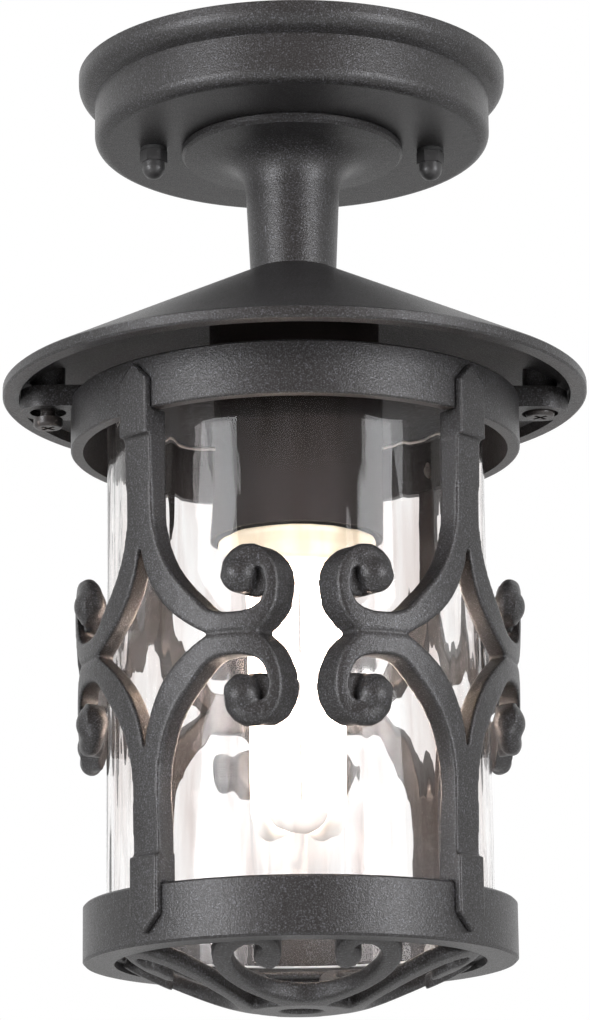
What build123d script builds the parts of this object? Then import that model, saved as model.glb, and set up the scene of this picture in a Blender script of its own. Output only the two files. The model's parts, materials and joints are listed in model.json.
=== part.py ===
"""Outdoor ceiling lantern: conical roof on a short stem, scrolled cage, clear glass cylinder.

Millimetres, +Z up. The origin is the middle of the ceiling face; the lantern hangs below it.
+X is right and -Y is toward the viewer in the photograph.
"""
import os
from math import cos, radians, sin

from build123d import *

os.makedirs("parts", exist_ok=True)

# Fits
clearance = 0.3
thread_gap = 0.1
press_gap = 0.0

# Ceiling plate
rim_r = 89.3
rim_h = 3.5
rim_taper_r = 85.0
rim_taper_h = 6.5
plate_r = 82.5
plate_h = 31.0
plate_wall = 3.0
plate_edge_r = 5.0
gasket_r = 84.4
gasket_w = 4.0
gasket_h = 2.0

# Mounting bracket, studs and cap nuts
strap_w = 24.0
strap_t = 2.0
strap_flat = 43.0
strap_drop = 5.0
strap_step = 4.0
strap_half = 69.0
slot_pitch = 60.0
slot_len = 14.0
slot_w = 5.2
cable_hole_r = 7.0
stud_pitch = 116.0
stud_r = 3.0
stud_head_r = 5.5
stud_head_h = 3.6
nut6_af = 10.0
nut6_h = 5.0
seal_r = 5.6
seal_t = 1.5
cap_dome_r = 4.7
cap_nut_h = 12.0
cap_thread_depth = 8.5

# Stem and threaded tube
flange_r = 46.2
flange_t = 4.2
flange_flat_r = 38.0
neck_r = 19.4
neck_drop = 17.0
stem_foot_r = 17.8
stem_h = 55.0
stem_bore_r = 13.0
stem_web = 6.0
tube_r = 5.0
tube_bore_r = 3.8
tube_top_h = 10.5
tube_nut_af = 14.0
tube_nut_h = 5.0
tooth_washer_r = 9.0
tooth_washer_t = 1.0

# Roof
roof_top_r = 18.6
roof_r = 120.0
roof_rise = 50.0
roof_lip = 5.0
roof_lip_t = 6.6
roof_wall = 3.0
roof_hub_r = 16.0
roof_hub_h = 12.0
boss_r = 7.0
holder_cup_r = 35.0
holder_cup_t = 1.5
holder_cup_h = 102.0

# Cage fixing lugs and screws
lug_pitch = 202.6
lug_r = 11.5
lug_t = 8.8
lug_bore_r = 7.5
lug_bore_depth = 2.5
cage_screw_r = 2.9
cage_screw_len = 14.0
cage_head_r = 6.0
cage_head_h = 3.8
cross_w = 1.4
cross_len = 7.0
cross_depth = 1.8
left_screw_out = 5.0

# Cage rings and posts
collar_r = 92.0
collar_wall = 5.0
collar_h = 21.5
lug_rise = 4.4
ring_r = 86.5
ring_wall = 4.0
ring_h = 23.1
flange_in_r = 74.0
ring_flange_t = 3.0
cage_open_h = 186.6
post_r_top = 92.6
post_r_low = 87.6
post_wall = 8.8
pad_proud = 3.2
pad_half = 7.2
pad_point = 112.5
pad_corner = 105.5
pad_step = 82.5
post_half = 7.0
lower_stretch = 1.06
notch_w = 44.6
curl_web_r = 7.4
curl_web_at = (44.9, 21.4)
curl_recess = 4.0
curl_end_r = 5.0
curl_end_at = (41.6, 21.8)
curl_end_proud = 1.6
crease_w = 2.0
crease_depth = 2.2
post_screw_r = 2.0
post_head_r = 3.4
post_head_h = 2.2
post_screw_in = 2.0
post_head_gap = 0.1

# Glass
glass_r = 77.7
glass_wall = 3.5
glass_roof_gap = 24.0
glass_seal_t = 1.5
glass_seal_w = 5.0

# Bottom grille
grille_rim_t = 3.0
grille_rim_out = 81.5
grille_rim_in = 71.0
grille_t = 6.0
grille_drop = 21.8
grille_boss_r = 20.5
grille_boss_t = 8.0
grille_hole_r = 8.4

# Lampholder and lamp
ferrule_r = 8.0
ferrule_h = 9.0
holder_r = 22.0
holder_top_t = 3.0
holder_wall = 3.0
holder_h = 27.0
core_t = 4.0
shell_r = 13.6
shell_t = 0.8
lamp_gap = 0.5
lamp_cap_r = 13.2
lamp_cap_h = 14.5
lamp_rib = 0.7
lamp_ribs = 4
lamp_tip_r = 4.6
lamp_cone_h = 3.4
lamp_tip_h = 1.0
ballast_r = 29.0
ballast_neck_r = 24.0
ballast_h = 13.0
lamp_tube_r = 6.0
lamp_tube_ring = 14.0
lamp_tube_len = 109.0
lamp_bends = 3

# Wiring
block_w = 30.0
block_d = 18.0
block_h = 14.0
block_y = 38.0
pole_pitch = 9.0
pole_screw_r = 2.2
wire_r = 1.1
wire_off = 1.7
earth_at = (36.0, 20.0)
earth_screw_r = 2.0
earth_head_r = 4.0
earth_head_h = 2.6
tag_r = 4.6
tag_t = 0.8

# Levels below the ceiling face
plate_floor = -plate_h + plate_wall
stem_foot = -plate_h - stem_h
roof_hub_z = stem_foot - roof_hub_h
roof_edge = stem_foot - roof_rise
roof_low = roof_edge - roof_lip
roof_slope = roof_rise / (roof_r - 1.0 - roof_top_r)
collar_top = roof_low - 0.5
collar_low = collar_top - collar_h
ring_top = collar_low - cage_open_h
ring_low = ring_top - ring_h
cage_mid = (collar_low + ring_top) / 2
lug_top = collar_top + lug_rise
lug_low = lug_top - lug_t
boss_low = lug_top + clearance
grille_seat = ring_low + ring_flange_t
seal_seat = grille_seat + grille_rim_t
glass_low = seal_seat + glass_seal_t
cup_top = roof_hub_z
cup_nut_top = cup_top - holder_cup_t
tube_top = plate_floor + tube_top_h
ferrule_top = collar_low - 1.0
holder_top = ferrule_top - ferrule_h
holder_low = holder_top - holder_h
core_top = holder_top - holder_top_t
core_low = core_top - core_t
tube_low = core_top + 2.0
lamp_seat = holder_low - lamp_gap
lamp_thread_top = lamp_seat + lamp_cap_h
lamp_tip_top = lamp_thread_top + lamp_cone_h + lamp_tip_h
ballast_low = lamp_seat - ballast_h
lamp_low = ballast_low - lamp_tube_len
slope_drop = roof_wall * (1 + roof_slope**2) ** 0.5
roof_inner_top = stem_foot - slope_drop
glass_top = roof_inner_top - (glass_r - roof_top_r) * roof_slope - glass_roof_gap
glass_h = glass_top - glass_low


def radial(azimuth):
    """Outward direction at an azimuth."""
    return (cos(radians(azimuth)), sin(radians(azimuth)), 0)


def facing(azimuth, distance, level):
    """Plane square to the outward direction, its Y axis upright."""
    out = radial(azimuth)
    return Plane(
        origin=(out[0] * distance, out[1] * distance, level),
        x_dir=(-out[1], out[0], 0),
        z_dir=out,
    )


# Ceiling plate: flanged cup, open toward the ceiling
groove_in = gasket_r - gasket_w / 2
groove_out = gasket_r + gasket_w / 2
with BuildPart() as ceiling_plate:
    with BuildSketch(Plane.XZ):
        with BuildLine():
            Polyline(
                (tube_r + clearance, plate_floor),
                (plate_r - plate_wall - 2, plate_floor),
                (plate_r - plate_wall, plate_floor + 2),
                (plate_r - plate_wall, 0),
                (groove_in, 0),
                (groove_in, -gasket_h),
                (groove_out, -gasket_h),
                (groove_out, 0),
                (rim_r, 0),
                (rim_r, -rim_h),
            )
            ThreePointArc(
                (rim_r, -rim_h),
                ((rim_r + rim_taper_r) / 2 + 0.8, -rim_h - rim_taper_h / 2 - 0.9),
                (rim_taper_r, -rim_h - rim_taper_h),
            )
            Polyline(
                (rim_taper_r, -rim_h - rim_taper_h),
                (plate_r, -rim_h - rim_taper_h - 1.2),
                (plate_r, -plate_h + plate_edge_r),
            )
            RadiusArc((plate_r, -plate_h + plate_edge_r), (plate_r - plate_edge_r, -plate_h), plate_edge_r)
            Polyline(
                (plate_r - plate_edge_r, -plate_h),
                (tube_r + clearance, -plate_h),
                (tube_r + clearance, plate_floor),
            )
        make_face()
    revolve(axis=Axis.Z)
    with BuildSketch(Plane.XY.offset(-plate_h)):
        with Locations((-stud_pitch / 2, 0), (stud_pitch / 2, 0)):
            Circle(stud_r + clearance)
        with Locations(earth_at):
            Circle(earth_screw_r + thread_gap)
    extrude(amount=plate_wall, mode=Mode.SUBTRACT)
ceiling_plate.part.label = "ceiling_plate"
export_step(ceiling_plate.part, "parts/ceiling_plate.step")

with BuildPart() as ceiling_gasket:
    with BuildSketch(Plane.XY.offset(-gasket_h)):
        Circle(groove_out - thread_gap)
        Circle(groove_in + thread_gap, mode=Mode.SUBTRACT)
    extrude(amount=gasket_h)
ceiling_gasket.part.label = "ceiling_gasket"
export_step(ceiling_gasket.part, "parts/ceiling_gasket.step")

# Mounting strap with lowered ends, slots for the ceiling screws and a cable hole
strap_low = strap_flat + strap_step
with BuildPart() as mounting_bracket:
    with BuildSketch(Plane.XZ):
        with BuildLine():
            Polyline(
                (-strap_half, -strap_drop),
                (-strap_low, -strap_drop),
                (-strap_flat, 0),
                (strap_flat, 0),
                (strap_low, -strap_drop),
                (strap_half, -strap_drop),
                (strap_half, -strap_drop - strap_t),
                (strap_low - 1, -strap_drop - strap_t),
                (strap_flat - 1, -strap_t),
                (-strap_flat + 1, -strap_t),
                (-strap_low + 1, -strap_drop - strap_t),
                (-strap_half, -strap_drop - strap_t),
                close=True,
            )
        make_face()
    extrude(amount=strap_w / 2, both=True)
    with BuildSketch(Plane.XY.offset(-strap_t)):
        with Locations((-slot_pitch / 2, 0), (slot_pitch / 2, 0)):
            SlotOverall(slot_len, slot_w)
        Circle(cable_hole_r)
    extrude(amount=strap_t, mode=Mode.SUBTRACT)
    with BuildSketch(Plane.XY.offset(-strap_drop - strap_t)):
        with Locations((-stud_pitch / 2, 0), (stud_pitch / 2, 0)):
            Circle(stud_r + thread_gap)
    extrude(amount=strap_t, mode=Mode.SUBTRACT)
    ends = mounting_bracket.edges().filter_by(Axis.Z).group_by(SortBy.LENGTH)[-1]
    fillet(ends.sort_by(Axis.X)[:2] + ends.sort_by(Axis.X)[-2:], 4)
mounting_bracket.part.label = "mounting_bracket"
export_step(mounting_bracket.part, "parts/mounting_bracket.step")

cap_seat = -plate_h - seal_t
stud_low = cap_seat - cap_thread_depth + 0.5
with BuildPart() as bracket_studs:
    with Locations((-stud_pitch / 2, 0, -strap_drop), (stud_pitch / 2, 0, -strap_drop)):
        Cylinder(stud_head_r, stud_head_h, align=(Align.CENTER, Align.CENTER, Align.MIN))
        Cylinder(stud_r, -strap_drop - stud_low, align=(Align.CENTER, Align.CENTER, Align.MAX))
bracket_studs.part.label = "bracket_studs"
export_step(bracket_studs.part, "parts/bracket_studs.step")

with BuildPart() as stud_lock_nuts:
    with BuildSketch(Plane.XY.offset(-strap_drop - strap_t)):
        with Locations((-stud_pitch / 2, 0), (stud_pitch / 2, 0)):
            RegularPolygon(nut6_af / 2, 6, major_radius=False)
            Circle(stud_r + thread_gap, mode=Mode.SUBTRACT)
    extrude(amount=-nut6_h)
stud_lock_nuts.part.label = "stud_lock_nuts"
export_step(stud_lock_nuts.part, "parts/stud_lock_nuts.step")

with BuildPart() as stud_seals:
    with BuildSketch(Plane.XY.offset(-plate_h)):
        with Locations((-stud_pitch / 2, 0), (stud_pitch / 2, 0)):
            Circle(seal_r)
            Circle(stud_r + clearance, mode=Mode.SUBTRACT)
    extrude(amount=-seal_t)
stud_seals.part.label = "stud_seals"
export_step(stud_seals.part, "parts/stud_seals.step")

# Domed cap nuts
dome_base = cap_seat - cap_nut_h + cap_dome_r
with BuildPart() as cap_nuts:
    with BuildSketch(Plane.XY.offset(cap_seat)):
        with Locations((-stud_pitch / 2, 0), (stud_pitch / 2, 0)):
            RegularPolygon(nut6_af / 2, 6, major_radius=False)
    extrude(amount=-nut6_h)
    with Locations((-stud_pitch / 2, 0, cap_seat - nut6_h), (stud_pitch / 2, 0, cap_seat - nut6_h)):
        Cylinder(
            cap_dome_r,
            cap_nut_h - nut6_h - cap_dome_r,
            align=(Align.CENTER, Align.CENTER, Align.MAX),
        )
    with Locations((-stud_pitch / 2, 0, dome_base), (stud_pitch / 2, 0, dome_base)):
        Sphere(cap_dome_r)
    with Locations((-stud_pitch / 2, 0, cap_seat), (stud_pitch / 2, 0, cap_seat)):
        Cylinder(
            stud_r + thread_gap,
            cap_thread_depth,
            align=(Align.CENTER, Align.CENTER, Align.MAX),
            mode=Mode.SUBTRACT,
        )
cap_nuts.part.label = "cap_nuts"
export_step(cap_nuts.part, "parts/cap_nuts.step")

# Stem: round flange, trumpet neck, plain tube, open at the top
with BuildPart() as stem:
    with BuildSketch(Plane.XZ):
        with BuildLine():
            Polyline(
                (stem_bore_r, -plate_h),
                (flange_r - 0.8, -plate_h),
                (flange_r, -plate_h - 0.8),
                (flange_r, -plate_h - flange_t + 1.2),
                (flange_r - 1.2, -plate_h - flange_t),
                (flange_flat_r, -plate_h - flange_t - 0.5),
            )
            Spline(
                (flange_flat_r, -plate_h - flange_t - 0.5),
                (neck_r + 4.2, -plate_h - flange_t - 5.0),
                (neck_r, -plate_h - flange_t - neck_drop),
                tangents=((-1, -0.05), (-0.04, -1)),
            )
            Polyline(
                (neck_r, -plate_h - flange_t - neck_drop),
                (stem_foot_r, stem_foot),
                (tube_r + clearance, stem_foot),
                (tube_r + clearance, stem_foot + stem_web),
                (stem_bore_r, stem_foot + stem_web),
                (stem_bore_r, -plate_h),
            )
        make_face()
    revolve(axis=Axis.Z)
stem.part.label = "stem"
export_step(stem.part, "parts/stem.step")

with BuildPart() as threaded_tube:
    with BuildSketch(Plane.XY.offset(tube_low)):
        Circle(tube_r)
        Circle(tube_bore_r, mode=Mode.SUBTRACT)
    extrude(amount=tube_top - tube_low)
threaded_tube.part.label = "threaded_tube"
export_step(threaded_tube.part, "parts/threaded_tube.step")

# Lock nuts and washers of the tube: on the plate floor, under the cup and above the ferrule
washer_tops = (plate_floor + tooth_washer_t, cup_nut_top)
with BuildPart() as tube_washers:
    for level in washer_tops:
        with BuildSketch(Plane.XY.offset(level)):
            Circle(tooth_washer_r)
            Circle(tube_r + clearance, mode=Mode.SUBTRACT)
        extrude(amount=-tooth_washer_t)
tube_washers.part.label = "tube_washers"
export_step(tube_washers.part, "parts/tube_washers.step")

nut_tops = (
    plate_floor + tooth_washer_t + tube_nut_h,
    cup_nut_top - tooth_washer_t,
    ferrule_top + tube_nut_h,
)
with BuildPart() as tube_nuts:
    for level in nut_tops:
        with BuildSketch(Plane.XY.offset(level)):
            RegularPolygon(tube_nut_af / 2, 6, major_radius=False)
            Circle(tube_r + thread_gap, mode=Mode.SUBTRACT)
        extrude(amount=-tube_nut_h)
tube_nuts.part.label = "tube_nuts"
export_step(tube_nuts.part, "parts/tube_nuts.step")

# Roof: cone with a turned-down lip, a middle hub and two bosses for the cage screws
inner_edge = roof_r - roof_lip_t
inner_edge_z = roof_inner_top - (inner_edge - roof_top_r) * roof_slope
boss_bore_top = lug_low + lug_bore_depth + cage_screw_len + 0.5
with BuildPart() as roof:
    with BuildSketch(Plane.XZ):
        with BuildLine():
            Polyline(
                (tube_r + clearance, stem_foot),
                (roof_top_r, stem_foot),
                (roof_r - 1, roof_edge),
                (roof_r, roof_edge - 0.8),
                (roof_r, roof_low + 0.8),
                (roof_r - 0.8, roof_low),
                (inner_edge, roof_low),
                (inner_edge, inner_edge_z),
                (roof_hub_r, roof_inner_top - (roof_hub_r - roof_top_r) * roof_slope),
                (roof_hub_r, roof_hub_z),
                (tube_r + clearance, roof_hub_z),
                close=True,
            )
        make_face()
    revolve(axis=Axis.Z)
    with BuildSketch(Plane.XY.offset(boss_low)):
        with Locations((-lug_pitch / 2, 0), (lug_pitch / 2, 0)):
            Circle(boss_r)
    extrude(until=Until.NEXT)
    with BuildSketch(Plane.XY.offset(boss_low)):
        with Locations((-lug_pitch / 2, 0), (lug_pitch / 2, 0)):
            Circle(cage_screw_r + clearance)
    extrude(amount=boss_bore_top - boss_low, mode=Mode.SUBTRACT)
roof.part.label = "roof"
export_step(roof.part, "parts/roof.step")

# Cup under the roof that shields the wiring above the lampholder
with BuildPart() as holder_cup:
    with BuildSketch(Plane.XZ):
        with BuildLine():
            Polyline(
                (tube_r + clearance, cup_top),
                (holder_cup_r - 4, cup_top),
                (holder_cup_r, cup_top - 4),
                (holder_cup_r, cup_top - holder_cup_h),
                (holder_cup_r - holder_cup_t, cup_top - holder_cup_h),
                (holder_cup_r - holder_cup_t, cup_top - 4.4),
                (holder_cup_r - 4.4, cup_top - holder_cup_t),
                (tube_r + clearance, cup_top - holder_cup_t),
                close=True,
            )
        make_face()
    revolve(axis=Axis.Z)
holder_cup.part.label = "holder_cup"
export_step(holder_cup.part, "parts/holder_cup.step")

# Lampholder: cap with ferrule, ceramic core, skirt, screw shell and middle contact
with BuildPart() as holder_cap:
    with BuildSketch(Plane.XZ):
        with BuildLine():
            Polyline(
                (tube_r + thread_gap, ferrule_top),
                (ferrule_r, ferrule_top),
                (ferrule_r, holder_top + 2),
                (ferrule_r + 2, holder_top),
                (holder_r - 2, holder_top),
                (holder_r, holder_top - 2),
                (holder_r, core_top),
                (tube_r + thread_gap, core_top),
                close=True,
            )
        make_face()
    revolve(axis=Axis.Z)
holder_cap.part.label = "holder_cap"
export_step(holder_cap.part, "parts/holder_cap.step")

with BuildPart() as holder_core:
    with BuildSketch(Plane.XY.offset(core_low)):
        Circle(holder_r - holder_wall - thread_gap)
    extrude(amount=core_t)
    with BuildSketch(Plane.XY.offset(core_low)):
        with Locations((-wire_off, 0), (wire_off, 0)):
            Circle(wire_r + thread_gap)
    extrude(amount=core_t, mode=Mode.SUBTRACT)
holder_core.part.label = "holder_core"
export_step(holder_core.part, "parts/holder_core.step")

with BuildPart() as holder_skirt:
    with BuildSketch(Plane.XZ):
        with BuildLine():
            Polyline(
                (holder_r - holder_wall, core_top),
                (holder_r, core_top),
                (holder_r, holder_low + 1),
                (holder_r - 1, holder_low),
                (shell_r + shell_t + lamp_gap, holder_low),
                (shell_r + shell_t + lamp_gap, holder_low + 3),
                (holder_r - holder_wall, holder_low + 3),
                close=True,
            )
        make_face()
    revolve(axis=Axis.Z)
holder_skirt.part.label = "holder_skirt"
export_step(holder_skirt.part, "parts/holder_skirt.step")

with BuildPart() as screw_shell:
    with BuildSketch(Plane.XY.offset(holder_low + 1)):
        Circle(shell_r + shell_t)
        Circle(shell_r, mode=Mode.SUBTRACT)
    extrude(amount=core_low - holder_low - 1)
screw_shell.part.label = "screw_shell"
export_step(screw_shell.part, "parts/screw_shell.step")

contact_low = lamp_tip_top + clearance
with BuildPart() as middle_contact:
    with BuildSketch(Plane.XY.offset(core_low)):
        Rectangle(12, 5)
    extrude(amount=contact_low - core_low)
middle_contact.part.label = "middle_contact"
export_step(middle_contact.part, "parts/middle_contact.step")

# Lamp: screw cap with rolled ribs, contact tip, ballast housing and bent tubes
rib_pitch = lamp_cap_h / (lamp_ribs + 1)
with BuildPart() as lamp_cap:
    with Locations((0, 0, lamp_seat)):
        Cylinder(lamp_cap_r - lamp_rib, lamp_cap_h, align=(Align.CENTER, Align.CENTER, Align.MIN))
    with Locations([(0, 0, lamp_seat + rib_pitch * (k + 1)) for k in range(lamp_ribs)]):
        Torus(lamp_cap_r - lamp_rib, lamp_rib)
lamp_cap.part.label = "lamp_cap"
export_step(lamp_cap.part, "parts/lamp_cap.step")

with BuildPart() as lamp_insulator:
    with Locations((0, 0, lamp_thread_top)):
        Cone(
            lamp_cap_r - lamp_rib - 1,
            lamp_tip_r + 1.5,
            lamp_cone_h,
            align=(Align.CENTER, Align.CENTER, Align.MIN),
        )
lamp_insulator.part.label = "lamp_insulator"
export_step(lamp_insulator.part, "parts/lamp_insulator.step")

with BuildPart() as lamp_tip:
    with Locations((0, 0, lamp_thread_top + lamp_cone_h)):
        Cylinder(lamp_tip_r, lamp_tip_h, align=(Align.CENTER, Align.CENTER, Align.MIN))
lamp_tip.part.label = "lamp_tip"
export_step(lamp_tip.part, "parts/lamp_tip.step")

with BuildPart() as lamp_ballast:
    with BuildSketch(Plane.XZ):
        with BuildLine():
            Line((0, lamp_seat), (ballast_neck_r, lamp_seat))
            Spline(
                (ballast_neck_r, lamp_seat),
                (ballast_r - 0.8, lamp_seat - 2.6),
                (ballast_r, lamp_seat - 6),
                tangents=((1, -0.1), (0, -1)),
            )
            Polyline(
                (ballast_r, lamp_seat - 6),
                (ballast_r, ballast_low + 1.5),
                (ballast_r - 1.5, ballast_low),
                (0, ballast_low),
                (0, lamp_seat),
            )
        make_face()
    revolve(axis=Axis.Z)
lamp_ballast.part.label = "lamp_ballast"
export_step(lamp_ballast.part, "parts/lamp_ballast.step")

# Bent tubes, each a pair of neighbouring legs on the tube circle joined by a half round
leg_step = 180 / lamp_bends
bend_r = lamp_tube_ring * sin(radians(leg_step / 2))
bend_top = lamp_low + lamp_tube_r + bend_r
with BuildPart() as lamp_tubes:
    for k in range(lamp_bends):
        first = radial(2 * k * leg_step)
        second = radial((2 * k + 1) * leg_step)
        a = Vector(first[0], first[1], 0) * lamp_tube_ring
        b = Vector(second[0], second[1], 0) * lamp_tube_ring
        mid = (a + b) * 0.5
        with BuildLine() as bend:
            Line(a + Vector(0, 0, ballast_low), a + Vector(0, 0, bend_top))
            ThreePointArc(
                a + Vector(0, 0, bend_top),
                mid + Vector(0, 0, bend_top - bend_r),
                b + Vector(0, 0, bend_top),
            )
            Line(b + Vector(0, 0, bend_top), b + Vector(0, 0, ballast_low))
        with BuildSketch(Plane(origin=a + Vector(0, 0, ballast_low), z_dir=(0, 0, -1))):
            Circle(lamp_tube_r)
        sweep(path=bend.line)
lamp_tubes.part.label = "lamp_tubes"
export_step(lamp_tubes.part, "parts/lamp_tubes.step")

# Terminal block on the plate floor, its screws and the leads to the lampholder
with BuildPart() as terminal_block:
    with Locations((0, block_y, plate_floor)):
        Box(block_w, block_d, block_h, align=(Align.CENTER, Align.CENTER, Align.MIN))
    fillet(terminal_block.edges().filter_by(Axis.Z), 1.5)
    with BuildSketch(Plane.XY.offset(plate_floor + block_h)):
        with GridLocations(pole_pitch, block_d / 2, 3, 2):
            with Locations((0, block_y)):
                Circle(pole_screw_r + thread_gap)
    extrude(amount=-block_h / 2, mode=Mode.SUBTRACT)
terminal_block.part.label = "terminal_block"
export_step(terminal_block.part, "parts/terminal_block.step")

with BuildPart() as terminal_screws:
    with BuildSketch(Plane.XY.offset(plate_floor + block_h / 2)):
        with GridLocations(pole_pitch, block_d / 2, 3, 2):
            with Locations((0, block_y)):
                Circle(pole_screw_r)
    extrude(amount=block_h / 2 - 1.5)
terminal_screws.part.label = "terminal_screws"
export_step(terminal_screws.part, "parts/terminal_screws.step")

block_face = block_y - block_d / 2
wire_level = plate_floor + block_h / 2
with BuildPart() as live_lead:
    with BuildLine() as live_path:
        Spline(
            (-pole_pitch, block_face, wire_level),
            (-pole_pitch / 2, block_face / 2, tube_top + 6),
            (-wire_off, 0, tube_top),
            tangents=((0, -1, 0), (0, 0, -1)),
        )
        Line((-wire_off, 0, tube_top), (-wire_off, 0, core_low))
    with BuildSketch(Plane(origin=(-pole_pitch, block_face, wire_level), z_dir=live_path.line % 0)):
        Circle(wire_r)
    sweep(path=live_path.line)
live_lead.part.label = "live_lead"
export_step(live_lead.part, "parts/live_lead.step")

with BuildPart() as neutral_lead:
    with BuildLine() as neutral_path:
        Spline(
            (0, block_face, wire_level),
            (wire_off, block_face / 2, tube_top + 5),
            (wire_off, 0, tube_top),
            tangents=((0, -1, 0), (0, 0, -1)),
        )
        Line((wire_off, 0, tube_top), (wire_off, 0, core_low))
    with BuildSketch(Plane(origin=(0, block_face, wire_level), z_dir=neutral_path.line % 0)):
        Circle(wire_r)
    sweep(path=neutral_path.line)
neutral_lead.part.label = "neutral_lead"
export_step(neutral_lead.part, "parts/neutral_lead.step")

tag_top = plate_floor + tag_t
with BuildPart() as earth_screw:
    with Locations((*earth_at, tag_top)):
        Cylinder(earth_head_r, earth_head_h, align=(Align.CENTER, Align.CENTER, Align.MIN))
        Cylinder(earth_screw_r, plate_wall + tag_t, align=(Align.CENTER, Align.CENTER, Align.MAX))
earth_screw.part.label = "earth_screw"
export_step(earth_screw.part, "parts/earth_screw.step")

tag_end = (earth_at[0] - tag_r - 3, earth_at[1])
with BuildPart() as earth_tag:
    with BuildSketch(Plane.XY.offset(plate_floor)):
        with Locations(earth_at):
            Circle(tag_r)
        with Locations((earth_at[0] - tag_r, earth_at[1])):
            Rectangle(8, 3)
        with Locations(earth_at):
            Circle(earth_screw_r + clearance, mode=Mode.SUBTRACT)
    extrude(amount=tag_t)
earth_tag.part.label = "earth_tag"
export_step(earth_tag.part, "parts/earth_tag.step")

with BuildPart() as earth_lead:
    with BuildLine() as earth_path:
        Spline(
            (pole_pitch, block_face, wire_level),
            (pole_pitch + 5, block_face - 6, wire_level),
            (tag_end[0], tag_end[1], tag_top + wire_r),
            tangents=((0, -1, 0), (1, 0, 0)),
        )
    with BuildSketch(Plane(origin=(pole_pitch, block_face, wire_level), z_dir=earth_path.line % 0)):
        Circle(wire_r)
    sweep(path=earth_path.line)
earth_lead.part.label = "earth_lead"
export_step(earth_lead.part, "parts/earth_lead.step")

# Upper ring of the cage with its two fixing lugs
screw_level_top = collar_low + collar_h / 2 - 2
screw_level_low = ring_top - ring_h / 2 + 1
post_azimuths = {"front_left": 225, "front_right": 315, "back_right": 45, "back_left": 135}
with BuildPart() as upper_ring:
    with BuildSketch(Plane.XZ):
        with BuildLine():
            Polyline(
                (collar_r - collar_wall, collar_top),
                (collar_r - 0.8, collar_top),
                (collar_r, collar_top - 0.8),
                (collar_r, collar_low + 0.6),
                (collar_r - 0.6, collar_low),
                (collar_r - collar_wall, collar_low),
                close=True,
            )
        make_face()
    revolve(axis=Axis.Z)
    with BuildSketch(Plane.XY.offset(lug_low)):
        for side in (-1, 1):
            with Locations((side * lug_pitch / 2, 0)):
                Circle(lug_r)
            with Locations((side * (lug_pitch / 2 + collar_r - collar_wall) / 2, 0)):
                Rectangle(lug_pitch / 2 - collar_r + collar_wall, 2 * lug_r)
        Circle(collar_r - collar_wall, mode=Mode.SUBTRACT)
    extrude(amount=lug_t)
    with BuildSketch(Plane.XY.offset(lug_low)):
        with Locations((-lug_pitch / 2, 0), (lug_pitch / 2, 0)):
            Circle(cage_screw_r + clearance)
    extrude(amount=lug_t, mode=Mode.SUBTRACT)
    with BuildSketch(Plane.XY.offset(lug_low)):
        with Locations((-lug_pitch / 2, 0), (lug_pitch / 2, 0)):
            Circle(lug_bore_r)
    extrude(amount=lug_bore_depth, mode=Mode.SUBTRACT)
    for azimuth in post_azimuths.values():
        with BuildSketch(facing(azimuth, collar_r - collar_wall - 1, screw_level_top)):
            Circle(post_screw_r + thread_gap)
        extrude(amount=collar_wall + 2, mode=Mode.SUBTRACT)
upper_ring.part.label = "upper_ring"
export_step(upper_ring.part, "parts/upper_ring.step")

# Lower ring: upright wall with an inward flange that carries grille and glass
with BuildPart() as lower_ring:
    with BuildSketch(Plane.XZ):
        with BuildLine():
            Polyline(
                (ring_r - ring_wall, ring_top),
                (ring_r - 0.8, ring_top),
                (ring_r, ring_top - 0.8),
                (ring_r, ring_low + 1),
                (ring_r - 1, ring_low),
                (flange_in_r, ring_low),
                (flange_in_r, grille_seat),
                (ring_r - ring_wall, grille_seat),
                close=True,
            )
        make_face()
    revolve(axis=Axis.Z)
    for azimuth in post_azimuths.values():
        with BuildSketch(facing(azimuth, ring_r - ring_wall - 1, screw_level_low)):
            Circle(post_screw_r + thread_gap)
        extrude(amount=ring_wall + 2, mode=Mode.SUBTRACT)
lower_ring.part.label = "lower_ring"
export_step(lower_ring.part, "parts/lower_ring.step")

# Cast post with four scroll arms: its front outline is drawn along the middle of the post,
# and trimmed by a turned band that follows the cage. Outline points are (across, above middle).
# The half below the middle is the same outline, stretched a little.
def stretched(points, reach):
    return [(across, above * reach) for across, above in points]


arm_top = [(post_half, 53.0), (8.8, 40.4), (16.2, 25.2), (26.6, 13.6), (39.7, 8.2)]
arm_low = [(31.0, -0.6), (25.4, 2.5), (9.2, 16.2), (2.6, 28.8), (0.0, notch_w)]
hook_in = [(39.7, 8.2), (47.7, 10.4), (50.9, 18.2), (49.3, 24.4), (44.9, 26.8)]
curl_in = [(45.9, 21.8), (45.5, 16.4), (41.1, 15.2)]
hook_out = [
    (36.6, 22.0),
    (40.1, 30.6),
    (46.8, 33.9),
    (52.8, 29.2),
    (55.1, 18.6),
    (53.3, 8.4),
    (46.7, -0.6),
]

post_r_mid = (post_r_top + post_r_low) / 2
with BuildPart() as curl_band:
    with BuildSketch(Plane.XZ):
        with BuildLine():
            Polyline(
                (post_r_top - post_wall / 2, collar_low),
                (post_r_top + curl_end_proud, collar_low),
                (post_r_low + curl_end_proud, ring_top),
                (post_r_low - post_wall / 2, ring_top),
                close=True,
            )
        make_face()
    revolve(axis=Axis.Z)

with BuildPart() as curl_floor:
    with BuildSketch(Plane.XZ):
        with BuildLine():
            Polyline(
                (post_r_top - post_wall, collar_low),
                (post_r_top - curl_recess, collar_low),
                (post_r_low - curl_recess, ring_top),
                (post_r_low - post_wall, ring_top),
                close=True,
            )
        make_face()
    revolve(axis=Axis.Z)

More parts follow.
